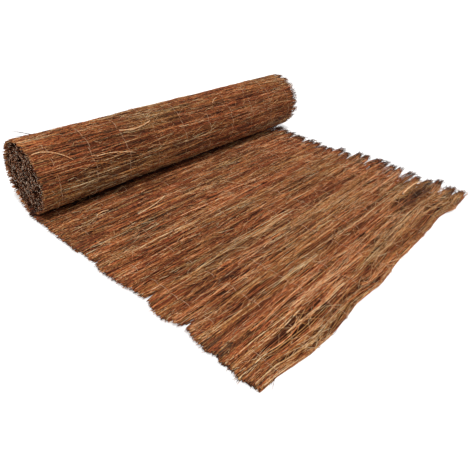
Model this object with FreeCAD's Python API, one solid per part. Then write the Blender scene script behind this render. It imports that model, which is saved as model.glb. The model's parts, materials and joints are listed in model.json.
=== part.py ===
"""A heather screening roll, partly unrolled, in millimetres.

Heather twigs lie side by side along X and are tied by rows of wire that run the length of the mat.
One stretch of the mat lies flat on the floor. At its back it runs into the bottom of the roll, goes up
behind it, over the top and down the front, and winds on inwards to a small bore.
X runs along the twigs, Y from the front edge to the roll, and Z is up.
The origin is under the middle of the whole piece.
"""
import FreeCAD, Part
import math
import os

# Heather mat
screen_width = 1000.0      # the mat's full width, along its twigs
mat_thickness = 12.0       # one layer of heather
laid_length = 744.0        # from below the roll's axis to the front edge
bundle_pitch = 31.0        # heather caught by one stitch of wire, along Y
bundle_gap_depth = 2.5     # valley between two bundles, on the laid stretch and round the roll
left_end_stagger = 8.0     # most that a laid bundle falls short of the cut end at -X
right_end_stagger = 32.0   # most that a laid bundle falls short of the loose end at +X
stagger_steps = 8          # different bundle lengths
stagger_stride = 5         # how far one bundle's length is from the next in those steps

# Roll
bore_radius = 7.0          # hollow at the middle of the roll
turn_count = 7             # whole turns on the roll
turn_gap = 2.0             # gap that shows between two turns on the roll's ends
turn_gap_depth = 10.0      # how deep that gap goes into each end
inner_end_angle = 45.0     # where the innermost gap stops, in degrees above the axis

# Tying wires
wire_diameter = 1.0
wire_row_pitch = 100.0     # between two rows, along X
wire_sink = 0.1            # how far a wire lies below the heather's surface
wire_clearance = 0.2       # between a wire and its channel
nip_angle = 8.0            # how far ahead of the roll's lowest point a wire goes out of sight, in degrees

# Worked out from the sizes above
back_radius = bore_radius + mat_thickness / 2 + turn_count * mat_thickness
front_radius = back_radius - mat_thickness / 2
total_depth = laid_length + back_radius
front_y = -total_depth / 2
axis_y = front_y + laid_length
back_centre_z = back_radius
front_centre_z = back_radius + mat_thickness / 2
bundle_count = max(1, round(laid_length / bundle_pitch))
bundle_width = laid_length / bundle_count
back_bundle_count = max(1, round(math.pi * back_radius / bundle_width))
front_bundle_count = max(1, round(math.pi * front_radius / bundle_width))
nose_radius = mat_thickness / 2
tied_width = screen_width - 2 * max(left_end_stagger, right_end_stagger)
wire_row_count = int(tied_width // wire_row_pitch) + 1
wire_radius = wire_diameter / 2
wire_depth = wire_sink + wire_radius
channel_width = wire_diameter + 2 * wire_clearance
channel_depth = wire_sink + wire_diameter + wire_clearance
overcut = 1.0              # how far a cutting tool reaches past the surface it opens

# Angles in the YZ plane, in degrees from +Y towards +Z
BOTTOM = -90.0
TOP = 90.0
UNDER = BOTTOM + 360.0


def polar(centre_y, centre_z, radius, angle, x=0.0):
    """The point at a radius and angle from a centre, in the plane at x."""
    turned = math.radians(angle)
    return FreeCAD.Vector(x, centre_y + radius * math.cos(turned), centre_z + radius * math.sin(turned))


def arc_edge(centre_y, centre_z, radius, start, end, x=0.0):
    """An arc about a centre from one angle to another."""
    stops = (start, (start + end) / 2, end)
    return Part.Arc(*[polar(centre_y, centre_z, radius, angle, x) for angle in stops]).toShape()


def extruded(edges, x_from, x_to):
    """The solid between x_from and x_to whose section is a closed chain of edges drawn at x = 0."""
    face = Part.Face(Part.Wire(Part.__sortEdges__(edges)))
    face.translate(FreeCAD.Vector(x_from, 0, 0))
    return face.extrude(FreeCAD.Vector(x_to - x_from, 0, 0))


def on_back(angle, height=0.0):
    """A point of the roll's back outline, at some height above the mat's surface."""
    return polar(axis_y, back_centre_z, back_radius + height, angle)


def on_front(angle, height=0.0):
    """A point of the roll's front outline, at some height above the mat's surface."""
    return polar(axis_y, front_centre_z, front_radius + height, angle)


def band(centre_y, centre_z, inner, outer, start, end, x_from, x_to):
    """A bent strip between two radii and two angles, between x_from and x_to."""
    edges = [
        arc_edge(centre_y, centre_z, outer, start, end),
        arc_edge(centre_y, centre_z, inner, start, end),
        Part.makeLine(polar(centre_y, centre_z, inner, start), polar(centre_y, centre_z, outer, start)),
        Part.makeLine(polar(centre_y, centre_z, inner, end), polar(centre_y, centre_z, outer, end)),
    ]
    return extruded(edges, x_from, x_to)


def wire_rows():
    """The X of each row of wire, spread about the middle of the mat."""
    middle = (wire_row_count - 1) / 2
    return [(row - middle) * wire_row_pitch for row in range(wire_row_count)]


def turn_gaps(x_from, x_to):
    """The spiral gap between the turns, as deep as it shows in one end of the roll."""
    strips = []
    for turn in range(1, turn_count + 1):
        back = back_radius - turn * mat_thickness
        front = front_radius - turn * mat_thickness
        innermost = turn == turn_count
        back_end = inner_end_angle if innermost else TOP
        strips.append(
            band(axis_y, back_centre_z, back - turn_gap / 2, back + turn_gap / 2, BOTTOM, back_end, x_from, x_to)
        )
        if not innermost:
            strips.append(
                band(axis_y, front_centre_z, front - turn_gap / 2, front + turn_gap / 2, TOP, UNDER, x_from, x_to)
            )
    return strips[0].fuse(strips[1:])


def roll_channel(x):
    """The shallow channel of one wire round the outside of the roll."""
    x_from, x_to = x - channel_width / 2, x + channel_width / 2
    back = band(axis_y, back_centre_z, back_radius - channel_depth, back_radius + overcut,
                BOTTOM, TOP, x_from, x_to)
    front = band(axis_y, front_centre_z, front_radius - channel_depth, front_radius + overcut,
                 TOP, UNDER, x_from, x_to)
    return back.fuse(front)


def roll_outline():
    """One crowned bundle after another: from under the axis up the back, over the top and down the front."""
    back_step = (TOP - BOTTOM) / back_bundle_count
    front_step = (UNDER - TOP) / front_bundle_count
    gaps = [on_back(BOTTOM + (k + 0.5) * back_step, -bundle_gap_depth) for k in range(back_bundle_count)]
    gaps += [on_front(TOP + (k + 0.5) * front_step, -bundle_gap_depth) for k in range(front_bundle_count)]
    crests = [on_back(BOTTOM + k * back_step) for k in range(1, back_bundle_count + 1)]
    crests += [on_front(TOP + k * front_step) for k in range(1, front_bundle_count)]
    lowest = on_back(BOTTOM)
    seam = on_front(UNDER)
    arcs = [Part.Arc(lowest, on_back(BOTTOM + back_step / 4, -bundle_gap_depth / 4), gaps[0])]
    arcs += [Part.Arc(gap, crest, next_gap) for gap, crest, next_gap in zip(gaps, crests, gaps[1:])]
    arcs += [Part.Arc(gaps[-1], on_front(UNDER - front_step / 4, -bundle_gap_depth / 4), seam)]
    return [arc.toShape() for arc in arcs] + [Part.makeLine(seam, lowest)]


def rolled_heather():
    """The rolled stretch: one solid with its bore, its turns cut into both ends."""
    half_width = screen_width / 2
    roll = extruded(roll_outline(), -half_width, half_width)
    bore = Part.makeCylinder(
        bore_radius, screen_width + 2 * overcut,
        FreeCAD.Vector(-half_width - overcut, axis_y, front_centre_z), FreeCAD.Vector(1, 0, 0)
    )
    left_gaps = turn_gaps(-half_width - overcut, -half_width + turn_gap_depth)
    right_gaps = turn_gaps(half_width - turn_gap_depth, half_width + overcut)
    channels = [roll_channel(x) for x in wire_rows()]
    return roll.cut([bore, left_gaps, right_gaps] + channels)


def stagger(index, offset):
    """How far one bundle falls short of the longest, from 0 to 1."""
    step = (index * stagger_stride + offset) % stagger_steps
    return step / max(1, stagger_steps - 1)


def in_section(y, z):
    """A point of a section drawn at x = 0."""
    return FreeCAD.Vector(0, y, z)


def bundle_section(index):
    """The closed outline of one laid bundle: flat below, crowned above, and rounded at the front edge."""
    near = front_y + index * bundle_width
    far = near + bundle_width
    shoulder = mat_thickness - bundle_gap_depth
    far_side = Part.makeLine(in_section(far, shoulder), in_section(far, 0))
    if index == 0:
        start = near + nose_radius
        crown_height = mat_thickness - bundle_gap_depth / 4
        nose = arc_edge(start, nose_radius, nose_radius, TOP, UNDER)
        crown = Part.Arc(in_section(start, mat_thickness), in_section((start + far) / 2, crown_height),
                         in_section(far, shoulder))
        base = Part.makeLine(in_section(far, 0), in_section(start, 0))
        return [nose, crown.toShape(), far_side, base]
    crown = Part.Arc(in_section(near, shoulder), in_section((near + far) / 2, mat_thickness),
                     in_section(far, shoulder))
    base = Part.makeLine(in_section(far, 0), in_section(near, 0))
    near_side = Part.makeLine(in_section(near, 0), in_section(near, shoulder))
    return [crown.toShape(), far_side, base, near_side]


def laid_channel(x):
    """The channel of one wire along the top of the laid stretch, round its front edge and back below it."""
    corner = FreeCAD.Vector(x - channel_width / 2, front_y + nose_radius, 0)
    run = laid_length - nose_radius + overcut
    top = Part.makeBox(channel_width, run, channel_depth + overcut,
                       corner + FreeCAD.Vector(0, 0, mat_thickness - channel_depth))
    below = Part.makeBox(channel_width, run, channel_depth + overcut, corner - FreeCAD.Vector(0, 0, overcut))
    nose = band(front_y + nose_radius, nose_radius, nose_radius - channel_depth, nose_radius + overcut,
                TOP, UNDER, corner.x, corner.x + channel_width)
    return top.fuse([nose, below])


def laid_heather():
    """The laid stretch: one solid, with the gaps between its bundles in its top face and their uneven ends."""
    half_width = screen_width / 2
    bundles = []
    for index in range(bundle_count):
        left = -half_width + left_end_stagger * stagger(index, 0)
        right = half_width - right_end_stagger * stagger(index, 2)
        bundles.append(extruded(bundle_section(index), left, right))
    mat = bundles[0].fuse(bundles[1:]).removeSplitter()
    return mat.cut([laid_channel(x) for x in wire_rows()])


def tying_wire(x):
    """One row's wire: along the top, round the front edge, back below the mat and round the roll."""
    start = FreeCAD.Vector(x, axis_y - wire_clearance, mat_thickness - wire_depth)
    nose_y = front_y + nose_radius
    nose_bend = nose_radius - wire_depth
    route = [
        Part.makeLine(start, polar(nose_y, nose_radius, nose_bend, TOP, x)),
        arc_edge(nose_y, nose_radius, nose_bend, TOP, UNDER, x),
        Part.makeLine(polar(nose_y, nose_radius, nose_bend, UNDER, x),
                      polar(axis_y, back_centre_z, back_radius - wire_depth, BOTTOM, x)),
        arc_edge(axis_y, back_centre_z, back_radius - wire_depth, BOTTOM, TOP, x),
        arc_edge(axis_y, front_centre_z, front_radius - wire_depth, TOP, UNDER - nip_angle, x),
    ]
    section = Part.Wire(Part.makeCircle(wire_radius, start, FreeCAD.Vector(0, -1, 0)))
    return Part.Wire(route).makePipeShell([section], True, True), sum(edge.Length for edge in route)


def save(name, shape):
    """Writes one node's solids, after testing that they are sound."""
    if not shape.isValid() or not shape.Solids:
        raise ValueError(name + " is not a sound solid")
    shape.exportStep("parts/" + name + ".step")
    print(name, "solids", len(shape.Solids), "volume", round(shape.Volume, 1))


os.makedirs("parts", exist_ok=True)
save("rolled_heather", rolled_heather())
save("laid_heather", laid_heather())
for number, row_x in enumerate(wire_rows(), start=1):
    wire, route_length = tying_wire(row_x)
    save("tying_wire_%02d" % number, wire)
    filled = wire.Volume / (math.pi * wire_radius ** 2 * route_length)
    print("  route", round(route_length, 1), "volume over section times length", round(filled, 4))
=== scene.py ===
# Looks for the heather screening roll, in metres.
# The twigs are laid out in a flattened picture of the mat, and then set on the floor or wrapped round the
# roll. In that picture x runs along the twigs, s runs across them, and h is the height above the surface
# that shows. On the laid stretch s starts at the front edge. On the roll it starts where the roll meets the
# laid stretch, and climbs up the roll's front, over its top and down its back.
import json
import math
from collections import namedtuple

import bmesh
import bpy
import numpy as np
from mathutils import Matrix, Vector

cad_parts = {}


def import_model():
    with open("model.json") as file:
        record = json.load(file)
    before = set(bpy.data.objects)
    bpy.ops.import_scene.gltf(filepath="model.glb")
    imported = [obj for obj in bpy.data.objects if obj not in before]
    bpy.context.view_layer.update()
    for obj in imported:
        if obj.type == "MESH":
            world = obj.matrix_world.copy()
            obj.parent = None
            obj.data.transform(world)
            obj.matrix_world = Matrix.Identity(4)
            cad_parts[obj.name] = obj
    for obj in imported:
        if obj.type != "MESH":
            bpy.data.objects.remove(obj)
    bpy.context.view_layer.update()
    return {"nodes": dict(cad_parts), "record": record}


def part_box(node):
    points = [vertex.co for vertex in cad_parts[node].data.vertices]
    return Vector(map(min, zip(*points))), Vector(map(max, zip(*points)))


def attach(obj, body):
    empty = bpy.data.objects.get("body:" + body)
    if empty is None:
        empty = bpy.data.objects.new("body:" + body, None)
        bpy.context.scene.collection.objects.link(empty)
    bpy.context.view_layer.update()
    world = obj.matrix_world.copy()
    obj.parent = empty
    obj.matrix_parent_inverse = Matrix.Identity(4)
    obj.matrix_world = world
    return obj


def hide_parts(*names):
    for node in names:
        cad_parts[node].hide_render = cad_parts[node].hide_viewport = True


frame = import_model()

MM = 0.001

# Sizes that the frame gives
laid_low, laid_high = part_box("laid_heather")
_, roll_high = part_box("rolled_heather")
LAYER = laid_high.z
HALF_WIDTH = roll_high.x
FRONT_Y = laid_low.y
AXIS_Y = laid_high.y
LAID_LENGTH = AXIS_Y - FRONT_Y
BACK_RADIUS = roll_high.z / 2
FRONT_RADIUS = BACK_RADIUS - LAYER / 2
BACK_CENTRE_Z = BACK_RADIUS
FRONT_CENTRE_Z = BACK_RADIUS + LAYER / 2
MEAN_RADIUS = (BACK_RADIUS + FRONT_RADIUS) / 2
MEAN_CENTRE_Z = (BACK_CENTRE_Z + FRONT_CENTRE_Z) / 2
ROUND_ROLL = 2 * math.pi * MEAN_RADIUS
BORE_RADIUS = next(m["dims"]["r_mm"] for m in frame["record"]["mounts"] if m["name"] == "bore") * MM
WIRE_NODES = sorted(name for name in frame["nodes"] if name.startswith("tying_wire_"))

# The mat's outline, read off the photograph as (s, x) and (x, s)
LAID_LEFT_X = -0.500
LEFT_EDGE = ((0.0, -0.497), (0.043, -0.504), (0.06, -0.499), (0.085, -0.501), (0.105, -0.495),
             (0.124, -0.501), (0.159, -0.497), (0.19, -0.487), (0.211, -0.493), (0.236, -0.504),
             (0.263, -0.502), (0.29, -0.492), (0.317, -0.491), (0.36, -0.499), (0.434, -0.503),
             (0.466, -0.496), (0.505, -0.496), (0.55, -0.501), (0.744, -0.500))
ROLL_LEFT_X = -0.492
ROLL_RIGHT_X = 0.512
RIGHT_TIPS = ((0.0, 0.455), (0.05, 0.474), (0.08, 0.488), (0.14, 0.474), (0.21, 0.494), (0.33, 0.497),
              (0.40, 0.482), (0.45, 0.462), (0.55, 0.466), (0.60, 0.476), (0.744, 0.478))
FRONT_WAVE = ((-0.5, 0.001), (-0.446, 0.0), (-0.405, -0.009), (-0.36, -0.015), (-0.31, -0.017),
              (-0.26, -0.014), (-0.2, -0.009), (-0.166, -0.009), (-0.12, -0.016), (-0.06, -0.012),
              (-0.01, -0.006), (0.1, -0.007), (0.2, -0.005), (0.262, 0.002), (0.30, -0.003),
              (0.35, -0.016), (0.46, -0.015))
FRONT_WAVE_REACH = 0.09    # how far back from the front edge the wave is felt
LEFT_SLITS = ((0.465, 0.034), (0.297, 0.036), (0.190, 0.044))   # where along s, and how deep along x
SLIT_HALF_OPENING = 8.5 * MM
SLIT_ROUNDING = 0.8        # under 1, so that a slit narrows late
SLIT_REACH = 1.6           # how far in a slit keeps twigs to their own side, against its depth

# The surface's own shape
RIDGE = (0.122, 9 * MM, 6.0 * MM)       # near the far corner: where along s, how wide, and how high
TROUGH = (0.092, 13 * MM, -8.0 * MM)    # beside the ridge
RIDGE_ENDS = (0.20, 0.44)               # the stretch of x where both are
RIDGE_RAMPS = (0.08, 0.05)              # over how much of x they come in, and fade out
CORNER_LIFT = 9 * MM                    # how far the loose far corner rises off the floor
CORNER_ALONG_X = (0.27, 0.15)           # where it begins to rise, and over how much of x
CORNER_ALONG_S = (0.05, 0.05)           # where the rise has ended, and over how much of s
LAID_WAVES = 2.2 * MM                   # how much the laid surface rises and falls
ROLL_WAVES = 3.0 * MM                   # and how much the roll's does
OFF_FLOOR = 0.15 * MM                   # the least height of a twig above the floor

# Bundles of heather, each caught by one stitch of wire
BUNDLE_PITCH = 31 * MM
LAID_BUNDLES = round(LAID_LENGTH / BUNDLE_PITCH)
FRONT_BUNDLES = round(math.pi * FRONT_RADIUS / BUNDLE_PITCH)
BACK_BUNDLES = round(math.pi * BACK_RADIUS / BUNDLE_PITCH)
CROWN = 2.2 * MM           # how far a bundle's middle stands above its sides
TUFT_REACH = 98 * MM       # how far in from its loose end a bundle begins to draw together
TUFT_WIDTH = (0.10, 0.60)  # how wide it is at that end, against its full width
ROLL_TUFT_WIDER = 0.3      # and how much wider on the roll
TUFT_PULL = 0.25           # how much closer its twigs lie there
TUFT_LEAN = 4.5 * MM       # how far its tip leans to one side
RAGGED_END = 20 * MM       # how far strands fall short of their tuft's tip
RAGGED_WIDTH = 7 * MM      # and how wide those strands are
SHORT_END = 10 * MM        # how far short of that a twig ends, on average
LOOSE_TWIGS = 0.95         # how far twigs stray from their bundle's middle, against its width,
LOOSE_SHOOTS = 1.2         # and how far shoots do

# Strands that twigs gather into: spacing, how tightly, and how high each stands
STRANDS = ((4.6 * MM, 0.28, 0.35 * MM), (15 * MM, 0.12, 0.4 * MM))

# Branches of heather. Ranges are (least, most)
BRANCH_LENGTH = (0.10, 0.38)
BRANCH_SPREAD = (4.0 * MM, 12.0 * MM)   # from a branch's middle line to its outer twigs
BRANCH_SLOPE = 0.035
BRANCH_DEPTH = 3.0 * MM
BRANCH_WAVES = (((0.25, 0.6), 1.8 * MM), ((0.09, 0.2), 0.8 * MM))   # how long, and how far they sway
BRANCH_OVERHANG = 0.4                   # how far past the mat's ends it may lie, against its length
NARROW_BUTT = 0.4                       # how narrow it is at its butt, against its tip
TOWARDS_LOOSE_END = 0.72                # the share of branches whose tips point that way
EVEN_STEPS = (0.7548776662, 0.5698402910)   # steps that fill a square evenly
LEAST_TWIG, LEAST_SHOOT = 15 * MM, 9 * MM   # shorter ones are left out
WITH_TWIG = 0.9                         # the share of shoots that point the way of their twig
WILD_SHARE, WILD_ANGLE = 0.2, (18, 75)  # the share of shoots that stick out, and their degrees
TWIG_TONES, SHOOT_TONES = 0.25, 0.26    # how much the tones of one branch differ

Branches = namedtuple("Branches", "bundle butt tip middle home slope depth spread waves tone cast")
# The twigs of one kind that branches carry. begin and share say where along its branch a twig starts and how
# much of it the twig follows, side is how far across the branch's spread it lies, and lift is how far above
# or below the branch
Kind = namedtuple("Kind", "count begin share side lift radius taper sides spans kink")
# Shoots that leave twigs: angle is how far they turn from them, in degrees
Shoots = namedtuple("Shoots", "count length radius sides spans angle lift kink")
# A strip of bundles: where the twigs of each one begin and end along x, its middle line along s, how wide it
# is, the slits in the strip's left end, the seed of its patches, the least s that its twigs reach, how wide
# each bundle's tuft is at its tip and how far it leans, how the strip is put in its place, the node that it
# stands for, and how light its twigs are, painted light and shade included
Strip = namedtuple("Strip", "left right centre pitch slits seed least tuft lean wrap node light")
# The outermost twigs at a strip's left end: ragged is how uneven their line of cuts is, and slope is how far
# they sink along their length
Rim = namedtuple("Rim", "count left_x s ragged length drift kink slope radius tone cast")
# Some of a piece's mesh: its points, its faces' corners, their number in each face, which faces are cut
# ends, and each point's tone and cast
Part = namedtuple("Part", "points corners sizes ends tone cast")

# What the random draws of each piece, and of each kind of patch, start from
SEEDS = dict(
    laid_waves=5, roll_waves=9, laid_patches=21, roll_patches=41, front_edge_patches=61, sawn_pits=52,
    pale_clumps=58,
    uneven_bundles=3, laid=11, laid_underside=14, laid_under_layer=17, roll=31, roll_under_layer=37,
    roll_left_sawn_ends=51, roll_right_loose_ends=53, roll_left_rim=55, front_edge=61, laid_left_butts=71,
    laid_right_tips=72, laid_left_rim=73, laid_pale_stems=81, roll_pale_stems=82, laid_left_fringe=91,
    laid_right_fringe=92, roll_left_fringe=93, roll_right_fringe=94,
)
FIRST_WIRE_SEED = 100

# Light and viewpoint
SKY_STRENGTH = 0.50
FLOOR_GLOW = 0.40
FLOOR_SIZE = 40
FLOOR_WHITE = (0.86, 0.86, 0.86, 1)
LAMP_STRENGTH = 1.85
LAMP_ANGLE = math.radians(9)
LAMP_FROM = (-0.18, -0.42, 1.0)
CAMERA_PLACE = (-0.8737, -0.6563, 0.5993)
CAMERA_YAW, CAMERA_PITCH, CAMERA_TILT = 0.8770, 0.5930, 0.0643
CAMERA_LENS, CAMERA_SENSOR = 33.471, 36


def smooth(value):
    """A ramp from 0 to 1 with soft ends."""
    value = np.clip(value, 0.0, 1.0)
    return value * value * (3 - 2 * value)


def beyond(value, place, width):
    """0 up to a place, and 1 from the end of the ramp of this width that starts there."""
    return smooth((value - place) / width)


def before(value, place, width):
    """1 up to the ramp of this width that ends at a place, and 0 past that place."""
    return smooth((place - value) / width)


def through(points, value):
    """A soft curve through (place, amount) points."""
    places, amounts = np.array(points).T
    step = np.clip(np.searchsorted(places, value) - 1, 0, len(places) - 2)
    share = smooth((value - places[step]) / (places[step + 1] - places[step]))
    return amounts[step] + (amounts[step + 1] - amounts[step]) * share


def patches(seed, x, s, x_size, s_size):
    """Slow changes from 0 to 1 over the mat, in patches of about the given size."""
    cells = 64
    grid = np.random.default_rng(seed).uniform(0, 1, (cells, cells))
    u = (x + 1.0) / x_size
    v = (s + 1.0) / s_size
    i, j = np.floor(u).astype(int), np.floor(v).astype(int)
    fu, fv = smooth(u - i), smooth(v - j)
    i, j, next_i, next_j = i % cells, j % cells, (i + 1) % cells, (j + 1) % cells
    low = grid[i, j] * (1 - fu) + grid[next_i, j] * fu
    high = grid[i, next_j] * (1 - fu) + grid[next_i, next_j] * fu
    return low * (1 - fv) + high * fv


def shares(nodes):
    """Even steps from 0 to 1 along every twig."""
    return np.linspace(0, 1, nodes)[None]


def column(values, index):
    """The values at an index for every twig, one to a row."""
    return values[index][:, None]


def draws(name):
    """The random draws of one piece."""
    return np.random.default_rng(SEEDS[name])


# From the flattened picture to its place

def front_wave(x, s):
    """How far the front edge's wave moves a point along s."""
    return through(FRONT_WAVE, x) * smooth(1 - s / FRONT_WAVE_REACH)


def left_outline(strip, s):
    """How far the laid stretch's left end strays from a straight line. The roll's end is straight."""
    return through(LEFT_EDGE, s) - LAID_LEFT_X if strip is LAID else 0.0


def clear_of_slits(x, s, slits):
    """Keeps each twig to its own side of the slits in the left end."""
    for place, depth in slits:
        side = np.where(s[:, -1:] > place, 1.0, -1.0)
        opening = SLIT_HALF_OPENING * np.clip((LAID_LEFT_X + depth - x) / depth, 0, 1) ** SLIT_ROUNDING
        near_slit = x < LAID_LEFT_X + SLIT_REACH * depth
        s = np.where(near_slit, place + side * np.maximum(side * (s - place), opening), s)
    return s


def corner_lift(x, s):
    """How far the loose far corner rises off the floor."""
    return CORNER_LIFT * beyond(x, *CORNER_ALONG_X) * before(s, *CORNER_ALONG_S)


def ridge_and_trough(x, s):
    """The ridge near the far corner and the trough beside it."""
    first, last = RIDGE_ENDS
    along = beyond(x, first, RIDGE_RAMPS[0]) * before(x, last, RIDGE_RAMPS[1])
    return along * sum(height * np.exp(-((s - place) / width) ** 2)
                       for place, width, height in (RIDGE, TROUGH))


def on_floor(points):
    """Puts flattened points on the floor: h = 0 is the top of the laid stretch."""
    x, s, h = points[..., 0], points[..., 1], points[..., 2]
    y = FRONT_Y + s + front_wave(x, s)
    undulation = LAID_WAVES * (patches(SEEDS["laid_waves"], x, s, 0.21, 0.09) - 0.5)
    undulation = undulation + ridge_and_trough(x, s)
    share = np.clip((h + LAYER) / LAYER, 0, 1)
    z = np.maximum(LAYER + h + undulation * share, OFF_FLOOR) + corner_lift(x, s)
    return np.stack([x, y, z], axis=-1)


def on_front_edge(points):
    """Wraps flattened points round the front edge: s = 0 is where its rounding starts, on top."""
    x, s, h = points[..., 0], points[..., 1], points[..., 2]
    angle = math.pi / 2 + s / (LAYER / 2)
    radius = LAYER / 2 + h
    y = FRONT_Y + LAYER / 2 + radius * np.cos(angle) + front_wave(x, 0 * s)
    z = np.maximum(LAYER / 2 + radius * np.sin(angle), OFF_FLOOR) + corner_lift(x, 0 * s)
    return np.stack([x, y, z], axis=-1)


def on_roll(points):
    """Wraps flattened points round the roll: h = 0 is its outside."""
    x, s, h = points[..., 0], points[..., 1], points[..., 2]
    angle = math.radians(270) - s / MEAN_RADIUS
    front = angle > math.radians(90)
    bulge = ROLL_WAVES * (patches(SEEDS["roll_waves"], x, s, 0.27, 0.08) - 0.5)
    radius = np.where(front, FRONT_RADIUS, BACK_RADIUS) + h + bulge
    centre_z = np.where(front, FRONT_CENTRE_Z, BACK_CENTRE_Z)
    z = np.maximum(centre_z + radius * np.sin(angle), OFF_FLOOR)
    return np.stack([x, AXIS_Y + radius * np.cos(angle), z], axis=-1)


def in_place(points):
    """Points that are already where they belong."""
    return points


# Twigs as joined meshes

def twig_template(sides, spans, pointed):
    """One straight twig: the ring that each corner is on, its place in that ring, and the faces."""
    shape = bmesh.new()
    bmesh.ops.create_cone(shape, cap_ends=True, segments=sides, radius1=1, radius2=1, depth=spans)
    along = [edge for edge in shape.edges if abs(edge.verts[0].co.z - edge.verts[1].co.z) > spans / 2]
    if spans > 1:
        bmesh.ops.subdivide_edges(shape, edges=along, cuts=spans - 1)
    if pointed:
        tip = [vertex for vertex in shape.verts if vertex.co.z > spans / 2 - 0.1]
        bmesh.ops.pointmerge(shape, verts=tip, merge_co=(0, 0, spans / 2))
    shape.verts.index_update()
    corners = np.array([vertex.co for vertex in shape.verts])
    faces = [[vertex.index for vertex in face.verts] for face in shape.faces]
    ends = np.array([abs(face.normal.z) > 0.5 for face in shape.faces])
    shape.free()
    return np.rint(corners[:, 2] + spans / 2).astype(int), corners[:, :2], faces, ends


def twigs(paths, radii, tone, cast, sides, wrap, pointed=False, level=(0.0, 0.0, 1.0)):
    """Many twigs as a Part. paths is twig by node by (x, s, h), and radii is twig by node."""
    count, nodes = radii.shape
    ring, around, faces, ends = twig_template(sides, nodes - 1, pointed)
    along = np.gradient(paths, axis=1)
    along /= np.linalg.norm(along, axis=2, keepdims=True)
    sideways = np.cross(level, along)
    sideways /= np.linalg.norm(sideways, axis=2, keepdims=True)
    upwards = np.cross(along, sideways)
    points = wrap(paths[:, ring] + radii[:, ring, None] * (
        around[None, :, 0, None] * sideways[:, ring] + around[None, :, 1, None] * upwards[:, ring]
    ))
    first_corner = np.arange(count)[:, None] * len(ring)
    return Part(
        points=points.reshape(-1, 3),
        corners=(np.concatenate(faces)[None] + first_corner).reshape(-1),
        sizes=np.tile([len(face) for face in faces], count),
        ends=np.tile(ends, count),
        tone=np.repeat(tone, len(ring)),
        cast=np.repeat(cast, len(ring)),
    )


def joined(name, parts, materials):
    """One mesh object of several Parts. Cut ends are flat and take the second material."""
    first_point = np.cumsum([0] + [len(part.points) for part in parts])
    points = np.concatenate([part.points for part in parts])
    corners = np.concatenate([part.corners + first for part, first in zip(parts, first_point)])
    sizes = np.concatenate([part.sizes for part in parts])
    ends = np.concatenate([part.ends for part in parts])
    mesh = bpy.data.meshes.new(name)
    mesh.vertices.add(len(points))
    mesh.vertices.foreach_set("co", points.reshape(-1).astype(np.float32))
    mesh.loops.add(len(corners))
    mesh.loops.foreach_set("vertex_index", corners.astype(np.int32))
    mesh.polygons.add(len(sizes))
    mesh.polygons.foreach_set("loop_start", (np.cumsum(sizes) - sizes).astype(np.int32))
    mesh.polygons.foreach_set("material_index", ends.astype(np.int32))
    mesh.update(calc_edges=True)
    mesh.attributes.new("sharp_face", "BOOLEAN", "FACE").data.foreach_set("value", ends)
    for carried in ("tone", "cast"):
        values = np.concatenate([getattr(part, carried) for part in parts])
        layer = mesh.attributes.new(carried, "FLOAT", "POINT")
        layer.data.foreach_set("value", values.astype(np.float32))
    mesh.validate()
    return placed(name, mesh, materials)


def mesh_from(shape, name):
    """Turns a bmesh into a mesh, and lets the bmesh go."""
    mesh = bpy.data.meshes.new(name)
    shape.to_mesh(mesh)
    shape.free()
    return mesh


def placed(name, mesh, materials):
    """An object for a mesh that is already where it belongs."""
    for material in materials:
        mesh.materials.append(material)
    piece = bpy.data.objects.new(name, mesh)
    bpy.context.scene.collection.objects.link(piece)
    return piece


def stands_for(piece, node):
    """A finished piece: it rides on the part and stands for its node."""
    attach(piece, "root")
    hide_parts(node)


# How branches grow and twigs lie

def evenly(rng, count, step):
    """Numbers from 0 to 1 that fill the range evenly, in no order that shows."""
    return (np.arange(count) * step + rng.uniform(0, 0.6 / count ** 0.5, count)) % 1


def grow_branches(rng, strip, count):
    """Branches spread evenly over a strip of bundles."""
    over_strip = evenly(rng, count, EVEN_STEPS[0]) * len(strip.left)
    bundle = over_strip.astype(int)
    length = rng.uniform(*BRANCH_LENGTH, count)
    left = strip.left[bundle] - BRANCH_OVERHANG * length
    right = strip.right[bundle] + BRANCH_OVERHANG * length
    middle = left + (right - left) * evenly(rng, count, EVEN_STEPS[1])
    heading = np.where(rng.uniform(0, 1, count) < TOWARDS_LOOSE_END, 1.0, -1.0)
    home = strip.centre[bundle] + (2 * (over_strip - bundle) - 1) * strip.pitch / 2
    waves = [(rng.uniform(*lengths, count), rng.uniform(0, 2 * math.pi, count), rng.normal(0, sway, count))
             for lengths, sway in BRANCH_WAVES]
    lighter = patches(strip.seed, middle, home, 0.15, 0.045) - 0.5
    greyer = patches(strip.seed + 1, middle, home, 0.16, 0.05) - 0.5
    tone = 0.52 + rng.normal(0, 0.085, count) + 0.16 * lighter
    cast = 0.31 + rng.normal(0, 0.10, count) + 0.75 * greyer
    return Branches(
        bundle=bundle, butt=middle - heading * length / 2, tip=middle + heading * length / 2,
        middle=middle, home=home, slope=rng.normal(0, BRANCH_SLOPE, count),
        depth=BRANCH_DEPTH * rng.uniform(0, 1, count) ** 1.3, spread=rng.uniform(*BRANCH_SPREAD, count),
        waves=waves, tone=tone, cast=cast,
    )


def gather_into_strands(x, s, seed):
    """Draws twigs into strands: how far each point moves along s, and how far it rises."""
    shift, rise = np.zeros_like(s), np.zeros_like(s)
    for number, (spacing, gather, crest) in enumerate(STRANDS):
        phase = 2 * math.pi * (s / spacing + 2.5 * patches(seed + number, x, s, 0.17, 0.04))
        shift -= gather * spacing / (2 * math.pi) * np.sin(phase)
        rise += crest * np.cos(phase)
    return shift, rise


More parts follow.
